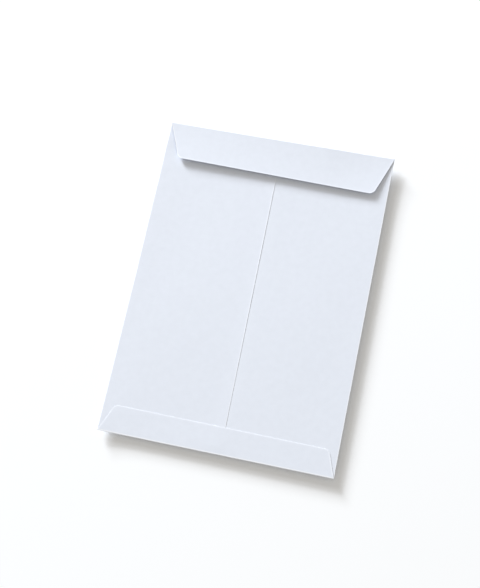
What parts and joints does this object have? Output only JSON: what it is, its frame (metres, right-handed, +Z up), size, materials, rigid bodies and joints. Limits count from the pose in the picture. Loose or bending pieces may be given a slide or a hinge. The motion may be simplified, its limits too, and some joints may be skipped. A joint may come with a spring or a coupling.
{
  "type": "paper envelope",
  "caption": "Plain pocket envelope folded from a sheet of paper: tall body with a lapped back seam, glued bottom flap and open top flap with slanted sides",
  "frame": {"origin": "middle of the envelope's outline, at the height of the surface it lies on", "axes": "+Y runs up the sheet to the fold of the top flap, +X runs across it to the right as the back is read, +Z points up out of the back with its seam and flaps"},
  "size_m": [0.229, 0.324, 0.0086],
  "materials": {
    "paper": "uncoated white paper, matt, faintly cool"
  },
  "bodies": {
    "root": {"envelope": "paper"}
  },
  "joints": []
}
